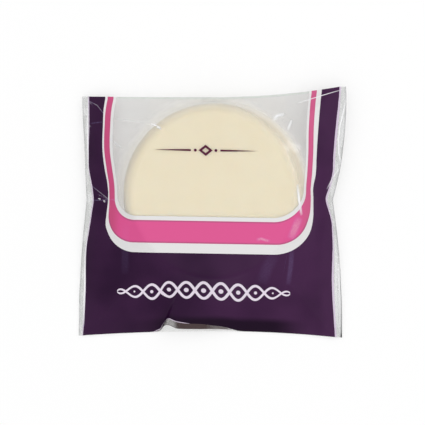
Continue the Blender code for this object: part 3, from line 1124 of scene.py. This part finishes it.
# The two side pinks are painted shade, for the steep film beside the window; the left one is darker
PINK_SHADE_LEFT = (0.58, 0.076, 0.205, 1.0)
PINK_SHADE_RIGHT = (0.627, 0.104, 0.248, 1.0)
PINK_OVERLAP = (0.42, 0.088, 0.20, 1.0)
WHITE_INK = (0.76, 0.75, 0.75, 1.0)
EDGE_LILAC = (0.64, 0.54, 0.67, 1.0)
LILAC = (0.78, 0.70, 0.80, 1.0)
PLUM = (0.11, 0.012, 0.045, 1.0)
# White lines over the ink stand for whitened film and painted glints, and the faintest are a painted violet
# sheen
CREASE_AND_GLINT_INK = (0.85, 0.82, 0.86, 1.0)
INK_PAINTED_SHEEN = (0.52, 0.44, 0.95, 1.0)

# The purple's ramps from deep to light and how much each adds: a random cloud, then painted light,
# which is a sheen to the right, a reflection in the lower left corner and light on the right band.
# Last, painted shade towards the mouth: across, and by the distance from the lip
INK_CLOUD, INK_CLOUD_SHAPE, INK_CLOUD_TONE = 24.0 * MM, (0.35, 0.65), 0.4
TO_RIGHT, RIGHTWARD_PAINTED_SHEEN = (-50.0, 50.0), 0.6
CORNER_ACROSS, CORNER_DOWN, CORNER_PAINTED_REFLECTION = (-20.0, -46.0), (-38.0, -52.0), 0.35
RIGHT_BAND, RIGHT_BAND_PAINTED_LIGHT = (43.0, 49.0), 0.25
MOUTH_SHADE_ACROSS, MOUTH_SHADE_FROM_LIP = (-42.0, -8.0, 24.0, 42.0), (6.9, 3.7)

PINK_MIDDLE, PINK_SHADE_SIDES = -1.7, (37.0, 42.0)
OVERLAP, OVERLAP_ASIDE, OVERLAP_BELOW, BELOW_WINDOW = 0.3, 0.15, 0.55, (-6.0, -13.0)
BAND_EDGES = (-51.9, 49.6)
CLEAR_STRIP = 0.05
INK_START = PRINT_END + CLEAR_STRIP
INK_END_AT_FOLD = 60.0
WHITE_LEFT, WHITE_RIGHT, WHITE_AT_TENT = 0.55, 1.0, 0.35
LILAC_BESIDE, LILAC_BELOW = 47.0, -30.0
TENT = (-26.0, -23.0, -13.0, -9.0)
PAINTED_SHEEN_TO_WHITE = (0.04, 0.22)


def between(finish, value, edges):
    """1 between the two middle edges, 0 outside the two outer ones, smooth where they differ."""
    low, full_from, full_to, high = edges
    return finish.ramp(value, low, full_from) * finish.ramp(value, high, full_to)


def purple_ink(finish, u, v):
    """Purple with a random cloud and painted light: sheen to the right and on the right band, a reflection
    in the lower left corner, and shade where the film rolls down.
    """
    cloud = finish.ramp(finish.noise(finish.place(), INK_CLOUD), *INK_CLOUD_SHAPE)
    corner = finish.ramp(v, *CORNER_DOWN) * finish.ramp(u, *CORNER_ACROSS)
    tone_and_light = cloud * INK_CLOUD_TONE + finish.ramp(u, *TO_RIGHT) * RIGHTWARD_PAINTED_SHEEN
    tone_and_light = tone_and_light + corner * CORNER_PAINTED_REFLECTION + finish.ramp(u, *RIGHT_BAND) * RIGHT_BAND_PAINTED_LIGHT
    mouth_shade = finish.ramp(finish.kept("from_lip"), *MOUTH_SHADE_FROM_LIP) * between(finish, u, MOUTH_SHADE_ACROSS)
    return finish.blend(mouth_shade, finish.blend(tone_and_light, PURPLE_DEEP, PURPLE_LIGHT), PURPLE_PAINTED_SHADE)


def pink_ink(finish, u):
    """Pink, with painted shade on both sides of the window, for the steep film there, darker on the left."""
    beside = finish.blend(u > 0.0, PINK_SHADE_LEFT, PINK_SHADE_RIGHT)
    return finish.blend(finish.ramp(abs(u - PINK_MIDDLE), *PINK_SHADE_SIDES), PINK, beside)


def ink_colour(finish, u, v, white):
    """The colour of the print at each place."""
    past_pink, past_inside = outside_window(u, v, PINK_OUTSIDE), outside_window(u, v, PINK_INSIDE)
    pink = (past_pink < 0.0) * (past_inside > 0.0)
    overlap = (abs(past_pink + OVERLAP) < OVERLAP).most(abs(past_inside - OVERLAP) < OVERLAP)
    overlap = overlap * (OVERLAP_ASIDE + OVERLAP_BELOW * finish.ramp(v, *BELOW_WINDOW))
    at_tent = between(finish, u, TENT) * WHITE_AT_TENT
    purple = (outside_window(u, v, OUTER_WINDOW) > 0.0) * (v > at_tent + INK_START)
    purple = purple * (u > BAND_EDGES[0]) * (u < BAND_EDGES[1])
    at_edge = (abs(u) > LILAC_BESIDE).most(v < LILAC_BELOW)
    colour = finish.blend(at_edge, WHITE_INK, EDGE_LILAC)
    creased = finish.blend(finish.ramp(white, *PAINTED_SHEEN_TO_WHITE), INK_PAINTED_SHEEN, CREASE_AND_GLINT_INK)
    for share, ink in (
        (purple, purple_ink(finish, u, v)),
        (pink, pink_ink(finish, u)),
        (overlap, PINK_OVERLAP),
        (plait(u, v), LILAC),
        (divider(u, v), PLUM),
        (white, creased),
    ):
        colour = finish.blend(share, colour, ink)
    return colour


def inked(finish, film, relief, u, v, white):
    """Lays the print over the film."""
    covered = (outside_window(u, v, CLEAR_WINDOW) > 0.0) * (v > INK_START) * (v < INK_END_AT_FOLD)
    covered = covered * (u > BAND_EDGES[0] - WHITE_LEFT) * (u < BAND_EDGES[1] + WHITE_RIGHT)
    ink = finish.node("BsdfPrincipled", None, {
        "Base Color": ink_colour(finish, u, v, white),
        "Roughness": 0.35,
        "IOR": 1.42,
        "Specular IOR Level": 0.3,
        "Normal": relief,
    })
    return finish.mix(covered.most(divider(u, v)), film, ink)


# %% The clear strip at the lip
# Painted shade in the clear strip at the lip: grey at the tent, then dark brown and paler to its right
CUT_LINE, CUT_DARKNESS = (0.6, 0.3), 0.55
TENT_SHADE_GREY = 0.3
LIP_SHADOW_SPAN, LIP_SHADOW_DARKNESS = (-18.5, -13.5, -4.0, 0.5), 0.92
PALE_SHADOW_SPAN, PALE_SHADOW_DARKNESS = (-4.0, 0.5, 4.0, 9.0), 0.6
LIP_SHADOW_START = (0.0, 0.2)
LIP_SHADOW_BROWN = (0.075, 0.052, 0.052, 1.0)


def lip_film(finish, u, clear):
    """The clear strip, with painted shade: grey with a thin dark cut edge at the tent, then a dark brown
    painted shadow and a paler one.
    """
    from_lip = finish.kept("from_lip")
    at_tent = between(finish, u, TENT)
    cut = finish.ramp(from_lip, *CUT_LINE) * at_tent * CUT_DARKNESS
    shaded_strip = between(finish, u, LIP_SHADOW_SPAN) * LIP_SHADOW_DARKNESS + between(finish, u, PALE_SHADOW_SPAN) * PALE_SHADOW_DARKNESS
    shaded_strip = finish.ramp(from_lip, *LIP_SHADOW_START) * shaded_strip
    lip_shadow = finish.node("BsdfDiffuse", None, {"Color": LIP_SHADOW_BROWN})
    return finish.mix(cut.most(at_tent * TENT_SHADE_GREY).most(shaded_strip), clear, lip_shadow)


# %% [markdown]
# ## The finishes of the printed pieces
#
# The front film, the fold and the seals read what their points keep: the place on the print, the
# white lines, which are whitened film and painted glints, and the haze. Over the disc's rim a cream haze
# is painted on the film, as light that lifts the rim's shade, and a faint white line is broken up into
# specks. The print runs a little way into the seals, whose melted film is streaky along its length and
# singed at the cut edge.

# %% Finishes of the front, the fold and the seals
FRONT_TINT = (0.982, 0.981, 0.979, 1.0)
FOLD_TINT = (0.940, 0.950, 0.940, 1.0)
SEAL_TINT = (0.875, 0.88, 0.875, 1.0)
# Over the disc's rim the cream haze is painted light, which lifts the shade of the rim
CREAM_RIM_LIGHT = (0.95, 0.88, 0.74, 1.0)
SINGED_BLACK = (0.02, 0.018, 0.02, 1.0)
FRONT_HAZE, RIM_LIGHT_HAZE, CREASE_AND_GLINT_HAZE = 0.02, 0.44, 0.95
CREASE_SHAPE = (0.48, 0.12)
SPECK, SPECK_SHAPE, SPECKLE = 0.5 * MM, (0.40, 0.62), 0.5
SEAL_HAZE, STREAK_HAZE = 0.03, 0.30
STREAK, STREAK_SHAPE, ALONG_SEAL = 1.3 * MM, (0.42, 0.66), (1.0, 0.2, 1.0)


def print_across(finish):
    """u and v: the place on the flat print."""
    flat = finish.node("UVMap", {"uv_map": "print"})
    return [finish.node("SeparateXYZ", None, {0: flat}, out=axis) for axis in (0, 1)]


def crease_white_and_glint(finish):
    """1 on a white line, which is whitened film and painted glints, and 0 half its width off the line. A
    faint one is mottled.
    """
    white = finish.kept("crease_white_and_glint")
    specks = finish.ramp(finish.noise(finish.place(), SPECK, detail=3.0), *SPECK_SHAPE)
    on_line = finish.ramp(abs(finish.kept("off_crease")), *CREASE_SHAPE)
    return white * on_line * (1 - (1 - white) * (1 - specks) * SPECKLE)


def printed_finish(name, tint, piece):
    finish = Finish(name)
    relief = film_relief(finish)
    u, v = print_across(finish)
    white = crease_white_and_glint(finish)
    over_rim = finish.kept("over_rim")
    haze = FRONT_HAZE + (over_rim * RIM_LIGHT_HAZE).most(white * CREASE_AND_GLINT_HAZE)
    clear = clear_film(finish, tint, haze, relief, finish.blend(over_rim * (1 - white), MILK, CREAM_RIM_LIGHT))
    film = finish.mix(v < INK_START, clear, lip_film(finish, u, clear))
    finish_with(finish, inked(finish, film, relief, u, v, white), piece)


def welded_finish(name, *pieces):
    finish = Finish(name)
    relief = film_relief(finish)
    u, v = print_across(finish)
    white = crease_white_and_glint(finish)
    lengthwise = finish.node("Mapping", None, {"Vector": finish.place(), "Scale": ALONG_SEAL})
    streaks = finish.ramp(finish.noise(lengthwise, STREAK, detail=1.0), *STREAK_SHAPE)
    haze = SEAL_HAZE + (streaks * STREAK_HAZE).most(white * CREASE_AND_GLINT_HAZE)
    film = inked(finish, clear_film(finish, SEAL_TINT, haze, relief), relief, u, v, white)
    singed = finish.node("BsdfDiffuse", None, {"Color": SINGED_BLACK})
    finish_with(finish, finish.mix(finish.kept("cut_edge"), film, singed), *pieces)


printed_finish("printed_film", FRONT_TINT, front_film)
printed_finish("folded_film", FOLD_TINT, top_fold_film)
welded_finish("welded_film", left_seal, right_seal)

# %% [markdown]
# ## Riding with the bodies
#
# The film moves with the pouch's body and the disc with its own, and the imported solids that they
# stand for are hidden.

for piece, node, slot in (
    (front_film, "front_panel", "printed_film"),
    (back_film, "back_panel", "clear_film"),
    (top_fold_film, "top_fold", "clear_film"),
    (left_seal, "left_side_weld", "clear_film"),
    (right_seal, "right_side_weld", "clear_film"),
):
    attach(piece, "pouch")
    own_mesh(piece)
    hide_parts(node)

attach(foam_disc, "disc")
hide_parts("sponge")

# %% [markdown]
# ## The table, the light and the camera
#
# The pouch lies on a white table in a pale room that is bright above and a little brighter on the
# right, but whose ceiling looks dim where the film mirrors it. One small lamp stands high on the
# right, for a glint where the film bends down over the disc's edge. The table glows a little for what
# sees it, so that it comes out white and still keeps a soft shadow.

# %% Table and room
SEEN_RAYS = ("Is Camera Ray", "Is Glossy Ray", "Is Transmission Ray")
TABLE_SIZE = 6.0
TABLE_WHITE = (0.95, 0.95, 0.95, 1.0)
TABLE_GLOW = 0.55


def seen_directly(tree):
    """1 for the rays that show the background: from the camera, off a gloss or through glass."""
    camera, glossy, through = (add_node(tree, "ShaderNodeLightPath", {}, {}, ray) for ray in SEEN_RAYS)
    return camera.most(glossy).most(through)


def make_table():
    deselect()
    bpy.ops.mesh.primitive_grid_add(x_subdivisions=8, y_subdivisions=8, size=TABLE_SIZE)
    table = bpy.context.object
    table.name = "table"
    finish = Finish("table_white")
    paint = finish.node("BsdfDiffuse", None, {"Color": TABLE_WHITE})
    glow = finish.node("Emission", None, {"Color": WHITE, "Strength": 1.0})
    finish_with(finish, finish.mix(seen_directly(finish.tree) * TABLE_GLOW, paint, glow), table)


LOW_LIGHT, HIGH_LIGHT, RIGHT_LIGHT = 0.08, 1.43, 0.10
CEILING_LIGHT = 0.30
WALL_TOP, CEILING_EDGE = 0.0, 0.35


def light_room():
    """A room lit from above and a little from the right. Where it is seen, the ceiling is dim."""
    world = bpy.data.worlds.new("studio")
    bpy.context.scene.world = world
    world.use_nodes = True
    tree = world.node_tree
    tree.nodes.clear()
    direction = add_node(tree, "ShaderNodeTexCoord", {}, {}, "Generated")
    right, up = (add_node(tree, "ShaderNodeSeparateXYZ", {}, {0: direction}, axis) for axis in "XZ")
    ceiling = add_node(tree, "ShaderNodeMapRange", {}, {0: up, 1: WALL_TOP, 2: CEILING_EDGE})
    shown = 1.0 - ceiling * (1.0 - CEILING_LIGHT)
    light = LOW_LIGHT + up.most(0.0) * HIGH_LIGHT + right * RIGHT_LIGHT
    strength = light + seen_directly(tree) * (shown - light)
    room = add_node(tree, "ShaderNodeBackground", {}, {"Color": WHITE, "Strength": strength})
    output = tree.nodes.new("ShaderNodeOutputWorld")
    tree.links.new(room.socket, output.inputs["Surface"])


make_table()
light_room()

# %% Soft box
LAMP_DISTANCE = 0.75


def soft_box(name, azimuth, zenith, height, length, level):
    """A studio lamp, by where it is seen from the pouch, how large and how bright, angles in degrees."""
    azimuth, zenith, height, length = (math.radians(angle) for angle in (azimuth, zenith, height, length))
    toward = Vector((math.cos(azimuth), math.sin(azimuth), 0.0)) * math.sin(zenith)
    toward.z = math.cos(zenith)
    lamp = bpy.data.lights.new(name, "AREA")
    lamp.shape = "RECTANGLE"
    lamp.size = 2 * LAMP_DISTANCE * math.tan(length / 2)
    lamp.size_y = 2 * LAMP_DISTANCE * math.tan(height / 2)
    lamp.energy = level * math.pi * lamp.size * lamp.size_y
    box = bpy.data.objects.new(name, lamp)
    bpy.context.scene.collection.objects.link(box)
    box.location = toward * LAMP_DISTANCE
    box.rotation_mode = "QUATERNION"
    box.rotation_quaternion = (-toward).to_track_quat("-Z", "Y")
    print(name, "gives", round(lamp.energy, 2), "W")


soft_box("upper_lamp", azimuth=28, zenith=44, height=6, length=18, level=2)

# %% Camera
PHOTO_WIDTH, PIXEL = 425, 0.4133 * MM
FIELD = PHOTO_WIDTH * PIXEL
LENS = 200.0
SENSOR = 36.0
SHARP_HEIGHT = 6.0 * MM
VIEW_MIDDLE = (-0.74 * MM, -7.6 * MM)
CLEAR_LAYERS = 32


def make_camera():
    data = bpy.data.cameras.new("camera")
    data.lens = LENS
    data.sensor_width = SENSOR
    camera = bpy.data.objects.new("camera", data)
    bpy.context.scene.collection.objects.link(camera)
    camera.location = (*VIEW_MIDDLE, SHARP_HEIGHT + FIELD * LENS / SENSOR)
    bpy.context.scene.camera = camera
    print("camera", round(camera.location.z, 2), "m above the table")


make_camera()
bpy.context.scene.view_settings.view_transform = "Standard"
bpy.context.scene.cycles.transparent_max_bounces = CLEAR_LAYERS
